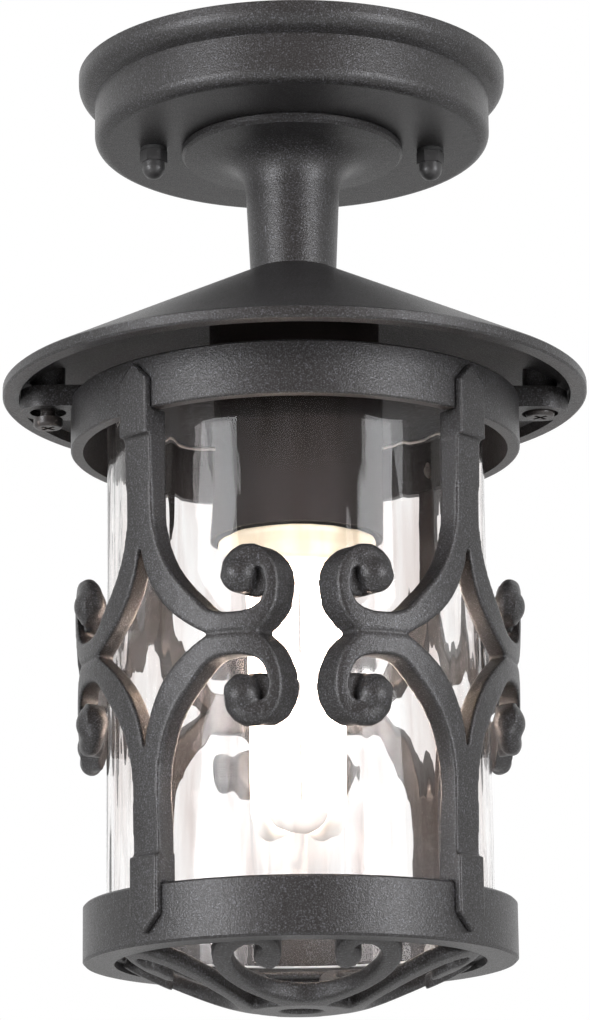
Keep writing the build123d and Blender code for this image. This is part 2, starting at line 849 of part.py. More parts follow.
with BuildPart() as post_band:
    with BuildSketch(Plane.XZ):
        with BuildLine():
            Polyline(
                (collar_r + press_gap, cage_mid + pad_point),
                (collar_r + pad_proud, cage_mid + pad_point),
                (collar_r + pad_proud, cage_mid + pad_step),
                (post_r_top, cage_mid + pad_step),
                (post_r_low, cage_mid - pad_step),
                (ring_r + pad_proud, cage_mid - pad_step),
                (ring_r + pad_proud, cage_mid - pad_point),
                (ring_r + press_gap, cage_mid - pad_point),
                (ring_r + press_gap, ring_top),
                (post_r_low - post_wall, ring_top),
                (post_r_top - post_wall, collar_low),
                (collar_r + press_gap, collar_low),
                close=True,
            )
        make_face()
    revolve(axis=Axis.Z)
    with BuildSketch(Plane.XZ):
        with BuildLine():
            Polyline(
                (post_r_mid + clearance, cage_mid - crease_w / 2),
                (post_r_mid + clearance, cage_mid + crease_w / 2),
                (post_r_mid - crease_depth, cage_mid),
                close=True,
            )
        make_face()
    revolve(axis=Axis.Z, mode=Mode.SUBTRACT)

for name, azimuth in post_azimuths.items():
    with BuildPart() as curl_ends:
        add(curl_band.part)
        with BuildSketch(facing(azimuth, 0, cage_mid)):
            for side in (-1, 1):
                for reach in (1.0, -lower_stretch):
                    with Locations((side * curl_end_at[0], reach * curl_end_at[1])):
                        Circle(curl_end_r)
        extrude(amount=2 * collar_r, mode=Mode.INTERSECT)
    with BuildPart() as curl_webs:
        add(curl_floor.part)
        with BuildSketch(facing(azimuth, 0, cage_mid)):
            for side in (-1, 1):
                for reach in (1.0, -lower_stretch):
                    with Locations((side * curl_web_at[0], reach * curl_web_at[1])):
                        Circle(curl_web_r)
        extrude(amount=2 * collar_r, mode=Mode.INTERSECT)
    with BuildPart() as scroll_post:
        add(post_band.part)
        with BuildSketch(facing(azimuth, 0, cage_mid)):
            for half, reach in ((1, 1.0), (-1, -lower_stretch)):
                above_arm = stretched(arm_top, reach)
                below_arm = stretched(arm_low, reach)
                hook_inner = stretched(hook_in, reach)
                hook_outer = stretched(hook_out, reach)
                curl = stretched(curl_in, reach)
                with BuildLine():
                    Spline(above_arm, tangents=((0, -half), (1, 0)))
                    Spline(hook_inner, tangents=((1, 0), (-1, 0)), tangent_scalars=(1, 0.5))
                    ThreePointArc(hook_inner[-1], curl[0], curl[1])
                    ThreePointArc(curl[1], curl[2], hook_outer[0])
                    Spline(hook_outer)
                    Line(hook_outer[-1], below_arm[0])
                    Spline(below_arm)
                    Line(below_arm[-1], (0, half * pad_step))
                    Line((0, half * pad_step), (post_half, half * pad_step))
                    Line((post_half, half * pad_step), above_arm[0])
                make_face()
            mirror(about=Plane.YZ)
            for half in (-1, 1):
                with BuildLine():
                    Polyline(
                        (-pad_half, half * (pad_step - 1)),
                        (pad_half, half * (pad_step - 1)),
                        (pad_half, half * pad_corner),
                        (0, half * pad_point),
                        (-pad_half, half * pad_corner),
                        close=True,
                    )
                make_face()
        extrude(amount=2 * collar_r, mode=Mode.INTERSECT)
        add(curl_ends.part)
        add(curl_webs.part)
        for seat, level in ((collar_r, screw_level_top), (ring_r, screw_level_low)):
            with BuildSketch(facing(azimuth, seat - 1, level)):
                Circle(post_screw_r + thread_gap)
            extrude(amount=1 + post_screw_in + thread_gap, mode=Mode.SUBTRACT)
    scroll_post.part.label = f"scroll_post_{name}"
    export_step(scroll_post.part, f"parts/scroll_post_{name}.step")

with BuildPart() as post_screws:
    for azimuth in post_azimuths.values():
        for seat, wall, level in (
            (collar_r, collar_wall, screw_level_top),
            (ring_r, ring_wall, screw_level_low),
        ):
            head_seat = seat - wall - post_head_gap
            with BuildSketch(facing(azimuth, head_seat, level)):
                Circle(post_screw_r)
            extrude(amount=wall + post_head_gap + post_screw_in)
            with BuildSketch(facing(azimuth, head_seat, level)):
                Circle(post_head_r)
            extrude(amount=-post_head_h)
post_screws.part.label = "post_screws"
export_step(post_screws.part, "parts/post_screws.step")

# Bottom grille: four heart scrolls on a shallow dome, a middle boss and a seating rim.
# Outline points of half a heart are (across, outward).
dome_low = grille_seat - grille_drop
dome_edge = flange_in_r - clearance - 0.2
heart_out = [
    (6.0, 16.0),
    (20.5, 26.5),
    (31.5, 36.5),
    (36.6, 48.0),
    (33.4, 62.5),
    (24.0, 71.6),
    (14.4, 68.6),
    (10.6, 56.4),
]
heart_in = [
    (17.4, 61.4),
    (20.4, 65.0),
    (25.4, 62.0),
    (28.6, 52.0),
    (24.3, 40.5),
    (12.6, 29.4),
    (0.0, 25.2),
]
heart_tip = [(15.2, 50.4), (20.5, 54.6), (20.3, 58.6)]
with BuildSketch() as heart:
    with BuildLine():
        Spline(heart_out)
        ThreePointArc(heart_out[-1], heart_tip[0], heart_tip[1])
        ThreePointArc(heart_tip[1], heart_tip[2], heart_in[0])
        Spline(heart_in)
        Polyline(heart_in[-1], (0, 16.0), heart_out[0])
    make_face()
    mirror(about=Plane.YZ)

with BuildPart() as grille_dome:
    with BuildSketch(Plane.XZ):
        with BuildLine():
            Line((0, dome_low), (grille_boss_r, dome_low))
            Spline(
                (grille_boss_r, dome_low),
                (50, dome_low + 9.0),
                (dome_edge, grille_seat - 1.2),
            )
            Polyline(
                (dome_edge, grille_seat - 1.2),
                (dome_edge, seal_seat),
                (grille_rim_in - 2, seal_seat),
            )
            Spline(
                (grille_rim_in - 2, seal_seat),
                (48, dome_low + 8.6 + grille_t),
                (grille_boss_r - 1, dome_low + grille_boss_t),
            )
            Polyline(
                (grille_boss_r - 1, dome_low + grille_boss_t),
                (0, dome_low + grille_boss_t),
                (0, dome_low),
            )
        make_face()
    revolve(axis=Axis.Z)

with BuildPart() as bottom_grille:
    add(grille_dome.part)
    with BuildSketch(Plane.XY.offset(dome_low - 1)):
        with PolarLocations(0, 4):
            add(heart.sketch)
        Circle(grille_boss_r)
    extrude(amount=grille_drop + grille_rim_t + 2, mode=Mode.INTERSECT)
    with BuildSketch(Plane.XY.offset(dome_low)):
        Circle(grille_hole_r)
    extrude(amount=grille_boss_t, mode=Mode.SUBTRACT)
    with BuildSketch(Plane.XY.offset(grille_seat)):
        Circle(grille_rim_out)
        Circle(grille_rim_in, mode=Mode.SUBTRACT)
    extrude(amount=grille_rim_t)
bottom_grille.part.label = "bottom_grille"
export_step(bottom_grille.part, "parts/bottom_grille.step")

# Glass cylinder on its seal
with BuildPart() as glass_seal:
    with BuildSketch(Plane.XY.offset(seal_seat)):
        Circle(glass_r + (glass_seal_w - glass_wall) / 2)
        Circle(glass_r + (glass_seal_w - glass_wall) / 2 - glass_seal_w, mode=Mode.SUBTRACT)
    extrude(amount=glass_seal_t)
glass_seal.part.label = "glass_seal"
export_step(glass_seal.part, "parts/glass_seal.step")

with BuildPart() as glass_cylinder:
    with BuildSketch(Plane.XY.offset(glass_low)):
        Circle(glass_r)
        Circle(glass_r - glass_wall, mode=Mode.SUBTRACT)
    extrude(amount=glass_h)
glass_cylinder.part.label = "glass_cylinder"
export_step(glass_cylinder.part, "parts/glass_cylinder.step")

# Cage screws with cross recesses, the left one backed out as it hangs
for name, side, out in (("left", -1, left_screw_out), ("right", 1, 0.0)):
    head_top = lug_low + lug_bore_depth - clearance - out
    with BuildPart() as cage_screw:
        with Locations((side * lug_pitch / 2, 0, head_top)):
            Cylinder(cage_screw_r, cage_screw_len, align=(Align.CENTER, Align.CENTER, Align.MIN))
            Cylinder(cage_head_r, cage_head_h, align=(Align.CENTER, Align.CENTER, Align.MAX))
        rims = cage_screw.edges().filter_by(GeomType.CIRCLE).sort_by(Axis.Z)
        fillet(rims[0], 1.6)
        with BuildSketch(Plane.XY.offset(head_top - cage_head_h)):
            with Locations((side * lug_pitch / 2, 0)):
                Rectangle(cross_len, cross_w, rotation=45)
                Rectangle(cross_w, cross_len, rotation=45)
        extrude(amount=cross_depth, mode=Mode.SUBTRACT)
    cage_screw.part.label = f"cage_screw_{name}"
    export_step(cage_screw.part, f"parts/cage_screw_{name}.step")
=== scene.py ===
"""Outdoor ceiling lantern: finishes, soft-edged castings, rippled glass and screw threads on the CAD frame."""
import json
import math

import bmesh
import bpy
from mathutils import Matrix, Vector


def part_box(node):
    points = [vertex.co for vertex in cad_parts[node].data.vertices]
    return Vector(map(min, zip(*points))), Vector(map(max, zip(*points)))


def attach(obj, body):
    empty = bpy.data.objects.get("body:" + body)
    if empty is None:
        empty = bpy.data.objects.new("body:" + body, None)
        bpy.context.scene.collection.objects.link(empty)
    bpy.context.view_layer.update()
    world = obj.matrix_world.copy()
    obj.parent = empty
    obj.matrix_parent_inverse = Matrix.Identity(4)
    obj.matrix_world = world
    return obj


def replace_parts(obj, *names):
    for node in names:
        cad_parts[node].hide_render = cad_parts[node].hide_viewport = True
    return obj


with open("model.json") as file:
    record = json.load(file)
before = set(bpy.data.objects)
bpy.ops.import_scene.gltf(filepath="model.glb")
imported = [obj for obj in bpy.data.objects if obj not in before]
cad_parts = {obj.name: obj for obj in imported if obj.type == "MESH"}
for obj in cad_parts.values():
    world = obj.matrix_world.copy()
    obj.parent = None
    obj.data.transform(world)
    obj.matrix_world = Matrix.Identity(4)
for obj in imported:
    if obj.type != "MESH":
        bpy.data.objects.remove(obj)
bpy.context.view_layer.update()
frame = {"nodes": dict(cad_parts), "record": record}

scene = bpy.context.scene
nodes = frame["nodes"]
MM = 0.001

# Camera: the photograph's view, from below the lantern and a little to its left
AIM = Vector((-0.4 * MM, 0.0, -186.9 * MM))
VIEW_DISTANCE = 1.536
VIEW_PITCH = math.radians(14.13)
VIEW_TURN = math.radians(-2.7)
VIEW_ROLL = math.radians(-0.62)
LENS = 132.6
SENSOR = 36.0
FARTHEST_SEEN = 60.0


def place_camera():
    """Camera at its distance from the aim, below it by the pitch and turned about its own line of sight."""
    data = bpy.data.cameras.new("lantern_camera")
    data.lens = LENS
    data.sensor_width = SENSOR
    data.clip_end = FARTHEST_SEEN
    camera = bpy.data.objects.new("lantern_camera", data)
    scene.collection.objects.link(camera)
    level = math.cos(VIEW_PITCH)
    back = Vector((math.sin(VIEW_TURN) * level, -math.cos(VIEW_TURN) * level, -math.sin(VIEW_PITCH)))
    turned = (-back).to_track_quat("-Z", "Y").to_matrix().to_4x4() @ Matrix.Rotation(VIEW_ROLL, 4, "Z")
    camera.matrix_world = Matrix.Translation(AIM + back * VIEW_DISTANCE) @ turned
    scene.camera = camera


place_camera()


# Finishes

def new_finish(name):
    """Material, its node tree and its Principled shader."""
    finish = bpy.data.materials.new(name)
    finish.use_nodes = True
    return finish, finish.node_tree, finish.node_tree.nodes["Principled BSDF"]


def grain(tree, size, detail=2.0, stretch=(1, 1, 1)):
    """Noise with grains about `size` millimetres across, longer along an axis by its stretch."""
    place = tree.nodes.new("ShaderNodeTexCoord")
    mapping = tree.nodes.new("ShaderNodeMapping")
    mapping.inputs["Scale"].default_value = [1 / (size * MM * s) for s in stretch]
    noise = tree.nodes.new("ShaderNodeTexNoise")
    noise.inputs["Scale"].default_value = 1.0
    noise.inputs["Detail"].default_value = detail
    tree.links.new(place.outputs["Object"], mapping.inputs["Vector"])
    tree.links.new(mapping.outputs["Vector"], noise.inputs["Vector"])
    return noise.outputs["Fac"]


def ramp(tree, value, *stops):
    """Colours along a value, each stop a position and an RGB colour."""
    node = tree.nodes.new("ShaderNodeValToRGB")
    while len(node.color_ramp.elements) < len(stops):
        node.color_ramp.elements.new(0.5)
    for element, (position, colour) in zip(node.color_ramp.elements, stops):
        element.position = position
        element.color = (*colour, 1.0)
    tree.links.new(value, node.inputs["Fac"])
    return node.outputs["Color"]


def spread(tree, value, low, high, start=0.3, end=0.7):
    """A value moved from start..end to low..high."""
    node = tree.nodes.new("ShaderNodeMapRange")
    node.inputs["From Min"].default_value = start
    node.inputs["From Max"].default_value = end
    node.inputs["To Min"].default_value = low
    node.inputs["To Max"].default_value = high
    tree.links.new(value, node.inputs["Value"])
    return node.outputs["Result"]


def rise(tree, node):
    """How far up a CAD node a point lies, from 0 at its foot to 1 at its top."""
    low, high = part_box(node)
    place = tree.nodes.new("ShaderNodeTexCoord")
    split = tree.nodes.new("ShaderNodeSeparateXYZ")
    tree.links.new(place.outputs["Object"], split.inputs["Vector"])
    return spread(tree, split.outputs["Z"], 0.0, 1.0, low.z, high.z)


def clouded_by(tree, one, other):
    """A colour darkened by another."""
    node = tree.nodes.new("ShaderNodeMix")
    node.data_type = "RGBA"
    node.blend_type = "MULTIPLY"
    node.inputs["Factor"].default_value = 1.0
    tree.links.new(one, node.inputs["A"])
    tree.links.new(other, node.inputs["B"])
    return node.outputs["Result"]


def relief(tree, shader, *layers):
    """Bump from layers of a value and its height in millimetres."""
    normal = None
    for value, height in layers:
        node = tree.nodes.new("ShaderNodeBump")
        node.inputs["Strength"].default_value = 1.0
        node.inputs["Distance"].default_value = height * MM
        tree.links.new(value, node.inputs["Height"])
        if normal:
            tree.links.new(normal, node.inputs["Normal"])
        normal = node.outputs["Normal"]
    tree.links.new(normal, shader.inputs["Normal"])


def powder_coat():
    """Charcoal textured paint: fine grain, pale sparkle and a soft mottle over the casting."""
    finish, tree, shader = new_finish("powder_coat")
    fine = grain(tree, 0.62, 2.0)
    sparkle = grain(tree, 0.42, 1.0)
    mottle = grain(tree, 26.0, 3.0)
    speckled = ramp(tree, fine, (0.30, (0.012, 0.0107, 0.0098)), (0.50, (0.027, 0.0255, 0.025)),
                    (0.62, (0.056, 0.0545, 0.058)), (0.74, (0.125, 0.127, 0.144)))
    cloud = ramp(tree, mottle, (0.32, (0.80, 0.79, 0.78)), (0.68, (1.0, 1.0, 1.0)))
    tree.links.new(clouded_by(tree, speckled, cloud), shader.inputs["Base Color"])
    tree.links.new(spread(tree, sparkle, 0.29, 0.49), shader.inputs["Roughness"])
    shader.inputs["Metallic"].default_value = 0.15
    relief(tree, shader, (grain(tree, 4.0, 2.0), 0.12), (fine, 0.16))
    return finish


def dark_paint(name, deep, worn, rough, size=1.2, gloss=0.5):
    """Smooth dark paint on a fastener or pressing, with small rubbed spots."""
    finish, tree, shader = new_finish(name)
    shader.inputs["Specular IOR Level"].default_value = gloss
    spots = grain(tree, size, 4.0)
    tree.links.new(ramp(tree, spots, (0.35, deep), (0.62, deep), (0.78, worn)), shader.inputs["Base Color"])
    tree.links.new(spread(tree, spots, rough - 0.08, rough + 0.12), shader.inputs["Roughness"])
    relief(tree, shader, (grain(tree, 0.5, 2.0), 0.03))
    return finish


def bare_metal(name, pale, deep, rough, size=3.0, stretch=(1, 1, 1)):
    """Plated or plain metal with a faint stain and drawn scratches."""
    finish, tree, shader = new_finish(name)
    stain = grain(tree, size, 5.0, stretch)
    tree.links.new(ramp(tree, stain, (0.32, deep), (0.66, pale)), shader.inputs["Base Color"])
    worn = grain(tree, 0.8, 3.0, stretch)
    tree.links.new(spread(tree, worn, rough - 0.08, rough + 0.12), shader.inputs["Roughness"])
    shader.inputs["Metallic"].default_value = 1.0
    relief(tree, shader, (grain(tree, 0.6, 3.0, stretch), 0.02))
    return finish


def moulded(name, pale, deep, rough, size=0.9, height=0.03):
    """Moulded plastic, rubber or ceramic with a fine skin."""
    finish, tree, shader = new_finish(name)
    skin = grain(tree, size, 3.0)
    cloud = grain(tree, 14.0, 2.0)
    tree.links.new(ramp(tree, cloud, (0.35, deep), (0.65, pale)), shader.inputs["Base Color"])
    tree.links.new(spread(tree, skin, rough - 0.06, rough + 0.10), shader.inputs["Roughness"])
    relief(tree, shader, (skin, height))
    return finish


def earth_insulation():
    """Green wire insulation with a yellow stripe."""
    finish, tree, shader = new_finish("wire_green")
    place = tree.nodes.new("ShaderNodeTexCoord")
    wave = tree.nodes.new("ShaderNodeTexWave")
    wave.bands_direction = "Z"
    wave.inputs["Scale"].default_value = 260.0
    wave.inputs["Distortion"].default_value = 0.6
    tree.links.new(place.outputs["Object"], wave.inputs["Vector"])
    tree.links.new(ramp(tree, wave.outputs["Fac"], (0.52, (0.06, 0.30, 0.05)), (0.58, (0.80, 0.62, 0.05))),
                   shader.inputs["Base Color"])
    tree.links.new(spread(tree, grain(tree, 0.8), 0.36, 0.5), shader.inputs["Roughness"])
    return finish


GLASS_BENDING = 1.24


def rippled_glass_finish():
    """Clear glass with faint upright streaks of painted shade, which lets the lamp's light through to what it lights.
    """
    finish, tree, shader = new_finish("clear_glass")
    shader.inputs["Transmission Weight"].default_value = 0.995
    shader.inputs["IOR"].default_value = GLASS_BENDING
    shader.inputs["Roughness"].default_value = 0.0
    # Painted shade: pinkish-grey upright streaks in the glass's colour stand in for the soft shading its ripples give
    painted_shade_streaks = ramp(tree, grain(tree, 9.0, 2.0, (1, 1, 8)),
                   (0.36, (0.86, 0.815, 0.80)), (0.52, (0.985, 0.975, 0.97)), (0.7, (0.99, 0.99, 0.988)))
    tree.links.new(painted_shade_streaks, shader.inputs["Base Color"])
    relief(tree, shader, (grain(tree, 5.0, 1.5, (1, 1, 6)), 0.05))
    clear = tree.nodes.new("ShaderNodeBsdfTransparent")
    path = tree.nodes.new("ShaderNodeLightPath")
    mix = tree.nodes.new("ShaderNodeMixShader")
    tree.links.new(path.outputs["Is Shadow Ray"], mix.inputs["Fac"])
    tree.links.new(shader.outputs["BSDF"], mix.inputs[1])
    tree.links.new(clear.outputs["BSDF"], mix.inputs[2])
    tree.links.new(mix.outputs["Shader"], tree.nodes["Material Output"].inputs["Surface"])
    return finish


TUBE_GLOW = 11.5
# Strength of the painted glow on the lamp's plastic housing, which is no lamp
HOUSING_PAINTED_GLOW = 0.14


def glowing_tube():
    """White phosphor on the lamp's tubes, lit, dim at the bends and a little browner toward the housing."""
    finish, tree, shader = new_finish("lamp_glass")
    tone = ramp(tree, rise(tree, "lamp_tubes"),
                (0.0, (0.021, 0.0185, 0.017)), (0.07, (0.025, 0.023, 0.021)), (0.16, (1.0, 0.81, 0.69)),
                (0.92, (1.0, 0.81, 0.69)), (1.0, (0.5, 0.36, 0.26)))
    tree.links.new(tone, shader.inputs["Emission Color"])
    shader.inputs["Emission Strength"].default_value = TUBE_GLOW
    tree.links.new(ramp(tree, grain(tree, 6.0, 3.0), (0.3, (0.86, 0.84, 0.80)), (0.7, (0.94, 0.93, 0.90))),
                   shader.inputs["Base Color"])
    shader.inputs["Roughness"].default_value = 0.25
    return finish


def painted_glow_housing():
    """Cream plastic of the lamp's housing, with a painted glow that stands in for the lamp's light through it,
    strongest along its lower edge.
    """
    finish, tree, shader = new_finish("lamp_plastic")
    # Painted glow: emission on the housing, brighter toward its foot, in place of the lamp's light showing through it
    tone = ramp(tree, rise(tree, "lamp_ballast"), (0.0, (1.0, 0.84, 0.60)), (1.0, (0.50, 0.38, 0.25)))
    tree.links.new(tone, shader.inputs["Emission Color"])
    shader.inputs["Emission Strength"].default_value = HOUSING_PAINTED_GLOW
    tree.links.new(ramp(tree, grain(tree, 8.0, 3.0), (0.3, (0.76, 0.65, 0.47)), (0.7, (0.84, 0.75, 0.58))),
                   shader.inputs["Base Color"])
    tree.links.new(spread(tree, grain(tree, 1.0), 0.28, 0.42), shader.inputs["Roughness"])
    return finish


finishes = {
    "powder_coat": powder_coat(),
    "black_nut": dark_paint("black_nut", (0.034, 0.033, 0.033), (0.085, 0.082, 0.080), 0.40),
    "black_screw": dark_paint("black_screw", (0.030, 0.025, 0.023), (0.20, 0.17, 0.15), 0.34, 2.0),
    "black_steel": dark_paint("black_steel", (0.015, 0.011, 0.010), (0.034, 0.028, 0.025), 0.62, 1.2, 0.2),
    "zinc_steel": bare_metal("zinc_steel", (0.66, 0.66, 0.64), (0.44, 0.43, 0.40), 0.34),
    "brass": bare_metal("brass", (0.78, 0.60, 0.28), (0.52, 0.36, 0.15), 0.30),
    "lamp_metal": bare_metal("lamp_metal", (0.72, 0.71, 0.69), (0.55, 0.53, 0.50), 0.28),
    "rubber": moulded("rubber", (0.030, 0.030, 0.030), (0.018, 0.018, 0.018), 0.72, 0.8, 0.06),
    "holder_plastic": moulded("holder_plastic", (0.030, 0.025, 0.023), (0.018, 0.015, 0.014), 0.38),
    "holder_ceramic": moulded("holder_ceramic", (0.82, 0.80, 0.74), (0.68, 0.65, 0.58), 0.55, 0.6, 0.05),
    "terminal_plastic": moulded("terminal_plastic", (0.84, 0.84, 0.81), (0.74, 0.74, 0.70), 0.42),
    "lamp_black": moulded("lamp_black", (0.022, 0.022, 0.024), (0.010, 0.010, 0.011), 0.14),
    "wire_brown": moulded("wire_brown", (0.25, 0.11, 0.05), (0.17, 0.07, 0.03), 0.42),
    "wire_blue": moulded("wire_blue", (0.05, 0.14, 0.42), (0.03, 0.09, 0.30), 0.42),
    "wire_green": earth_insulation(),
    "clear_glass": rippled_glass_finish(),
    "lamp_glass": glowing_tube(),
    "lamp_plastic": painted_glow_housing(),
}
for part in frame["record"]["subparts"]:
    for place in nodes[part["node"]].material_slots:
        place.material = finishes[part["material_slot"]]


# Pieces

def add_piece(name, mesh, body, slot):
    """A finished piece at the origin, riding on a body, in the finish of a record slot."""
    piece = bpy.data.objects.new(name, mesh)
    scene.collection.objects.link(piece)
    if not mesh.materials:
        mesh.materials.append(finishes[slot])
    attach(piece, body)
    return piece


def baked(holder):
    """Plain mesh of an object's evaluated shape; the object that held the modifiers goes."""
    bpy.context.view_layer.update()
    graph = bpy.context.evaluated_depsgraph_get()
    mesh = bpy.data.meshes.new_from_object(holder.evaluated_get(graph))
    bpy.data.objects.remove(holder)
    return mesh


# Castings: the CAD solid with the soft edges that mould and paint leave
POST_VOXEL = 0.59 * MM
POST_ROUNDS = (3, 10)
GRILLE_VOXEL = 0.75 * MM
GRILLE_ROUNDS = (3, 4)
WELD = 0.001 * MM
POST_AZIMUTHS = {"front_left": 225, "front_right": 315, "back_right": 45, "back_left": 135}
CAGE_MID = -256.3 * MM
SCROLL_REACH = 62.0 * MM
LOWER_STRETCH = 1.06
CURL_SEAT_R = 87.0 * MM
CURL_LEAN = 0.6 * MM
# Swells of a curl, each across the post, above the cage's middle, radius and height in mm
CURL_SWELLS = (
    (40.6, 23.0, 7.2, 6.6),  # round end
    (39.5, 26.1, 5.6, 4.8),  # turn of the scroll that runs into it
    (40.8, 28.2, 5.4, 4.6),
    (42.7, 29.6, 5.3, 4.4),
    (45.0, 29.7, 5.2, 4.2),
)


def curl_domes(build, azimuth):
    """Round end of each of a post's four curls, and the turn of the scroll that runs into it."""
    out = Vector((math.cos(azimuth), math.sin(azimuth), 0))
    along = Vector((-out.y, out.x, 0))
    for side in (-1, 1):
        for half, stretch in ((1, 1.0), (-1, LOWER_STRETCH)):
            for across, above, radius, height in ([value * MM for value in swell] for swell in CURL_SWELLS):
                depth = math.sqrt((CURL_SEAT_R + half * CURL_LEAN) ** 2 - across ** 2)
                seat = out * depth + along * (side * across)
                turn = seat.to_track_quat("Z", "Y").to_matrix().to_4x4()
                shape = Matrix.Diagonal((radius, radius, height, 1))
                lift = Matrix.Translation(seat + Vector((0, 0, CAGE_MID + half * above * stretch)))
                bmesh.ops.create_uvsphere(build, u_segments=32, v_segments=16, radius=1.0, matrix=lift @ turn @ shape)


def casting(node, body, voxel, rounds, azimuth=None):
    """Soft-edged copy of a CAD node. Smoothing goes over all of it, then again over the scrolls."""
    build = bmesh.new()
    build.from_mesh(nodes[node].data)
    bmesh.ops.remove_doubles(build, verts=build.verts, dist=WELD)
    if azimuth is not None:
        curl_domes(build, math.radians(azimuth))
    mesh = bpy.data.meshes.new(node + "_form")
    build.to_mesh(mesh)
    build.free()
    holder = bpy.data.objects.new(node + "_form", mesh)
    scene.collection.objects.link(holder)
    skin = holder.modifiers.new("skin", "REMESH")
    skin.mode = "VOXEL"
    skin.voxel_size = voxel
    result = baked(holder)
    result.name = node + "_cast"
    build = bmesh.new()
    build.from_mesh(result)
    scrolls = [vert for vert in build.verts if abs(vert.co.z - CAGE_MID) < SCROLL_REACH or azimuth is None]
    for verts, times in zip((build.verts, scrolls), rounds):
        for _ in range(times):
            bmesh.ops.smooth_vert(build, verts=verts, factor=0.5, use_axis_x=True, use_axis_y=True, use_axis_z=True)
    build.to_mesh(result)
    build.free()
    result.materials.clear()
    result.shade_smooth()
    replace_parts(add_piece(node + "_cast", result, body, "powder_coat"), node)


for name, azimuth in POST_AZIMUTHS.items():
    casting("scroll_post_" + name, "cage", POST_VOXEL, POST_ROUNDS, azimuth)
casting("bottom_grille", "cage", GRILLE_VOXEL, GRILLE_ROUNDS)


# Lamp housing: a shallow cream bowl with a shoulder that closes the mouth of the cup
SHOULDER_R = 31.8 * MM
HOUSING_R = 29.0 * MM
HOUSING_FACETS = 128
HOUSING_WELD = 0.01 * MM


def lamp_housing():
    """Housing turned from its outline, between the foot and top of the CAD ballast."""
    low, high = (corner.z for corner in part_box("lamp_ballast"))
    outline = [
        (0.0, high), (SHOULDER_R - 0.7 * MM, high), (SHOULDER_R - 0.2 * MM, high - 0.2 * MM),
        (SHOULDER_R, high - 0.7 * MM), (SHOULDER_R, high - 2.4 * MM), (SHOULDER_R - 0.5 * MM, high - 3.2 * MM),
        (HOUSING_R + 0.9 * MM, high - 5.6 * MM), (HOUSING_R + 0.3 * MM, high - 7.2 * MM), (HOUSING_R, low + 2.0 * MM),
        (HOUSING_R - 0.5 * MM, low + 0.7 * MM), (HOUSING_R - 1.8 * MM, low), (0.0, low)]
    build = bmesh.new()
    points = [build.verts.new((radius, 0.0, level)) for radius, level in outline]
    edges = [build.edges.new(pair) for pair in zip(points, points[1:])]
    bmesh.ops.spin(build, geom=points + edges, axis=(0, 0, 1), cent=(0, 0, 0), angle=2 * math.pi,
                   steps=HOUSING_FACETS, use_merge=True)
    bmesh.ops.remove_doubles(build, verts=build.verts, dist=HOUSING_WELD)
    bmesh.ops.recalc_face_normals(build, faces=build.faces)
    mesh = bpy.data.meshes.new("lamp_housing")
    build.to_mesh(mesh)
    build.free()
    mesh.shade_smooth()
    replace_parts(add_piece("lamp_housing", mesh, "lamp", "lamp_plastic"), "lamp_ballast")


lamp_housing()


# Geometry Nodes

def new_tree(name, *inputs):
    """Node tree with a mesh result and named inputs, each a name, a socket kind and a value."""
    tree = bpy.data.node_groups.new(name, "GeometryNodeTree")
    tree.interface.new_socket("Mesh", in_out="OUTPUT", socket_type="NodeSocketGeometry")
    for label, kind, value in inputs:
        socket = tree.interface.new_socket(label, in_out="INPUT", socket_type=kind)
        if value is not None:
            socket.default_value = value
    return tree, tree.nodes.new("NodeGroupInput"), tree.nodes.new("NodeGroupOutput")


def maths(tree, work, one, other):
    """Two numbers worked together, each a plain number or a socket."""
    node = tree.nodes.new("ShaderNodeMath")
    node.operation = work
    for socket, value in zip(node.inputs, (one, other)):
        if isinstance(value, (int, float)):
            socket.default_value = value
        else:
            tree.links.new(value, socket)
    return node.outputs["Value"]


def vector_maths(tree, work, one, other=None, scale=None):
    """One or two vectors worked together, or one scaled."""
    node = tree.nodes.new("ShaderNodeVectorMath")
    node.operation = work
    for socket, value in zip(node.inputs, (one, other)):
        if isinstance(value, tuple):
            socket.default_value = value
        elif value is not None:
            tree.links.new(value, socket)
    if scale is not None:
        tree.links.new(scale, node.inputs["Scale"])
    return node.outputs["Vector"]


def finish_tree(tree, source, sizes, output):
    """Realize Instances and Set Material at the tree's end."""
    real = tree.nodes.new("GeometryNodeRealizeInstances")
    paint = tree.nodes.new("GeometryNodeSetMaterial")
    tree.links.new(source, real.inputs["Geometry"])
    tree.links.new(real.outputs["Geometry"], paint.inputs["Geometry"])
    tree.links.new(sizes.outputs["Finish"], paint.inputs["Material"])
    tree.links.new(paint.outputs["Geometry"], output.inputs["Mesh"])


def grown(tree, name, **values):
    """Mesh of a tree with its named inputs set."""
    holder = bpy.data.objects.new(name, bpy.data.meshes.new(name))
    scene.collection.objects.link(holder)
    grower = holder.modifiers.new(name, "NODES")
    grower.node_group = tree
    for item in tree.interface.items_tree:
        if item.item_type == "SOCKET" and item.in_out == "INPUT":
            grower[item.identifier] = values[item.name.replace(" ", "_").lower()]
    mesh = baked(holder)
    mesh.name = name
    return mesh


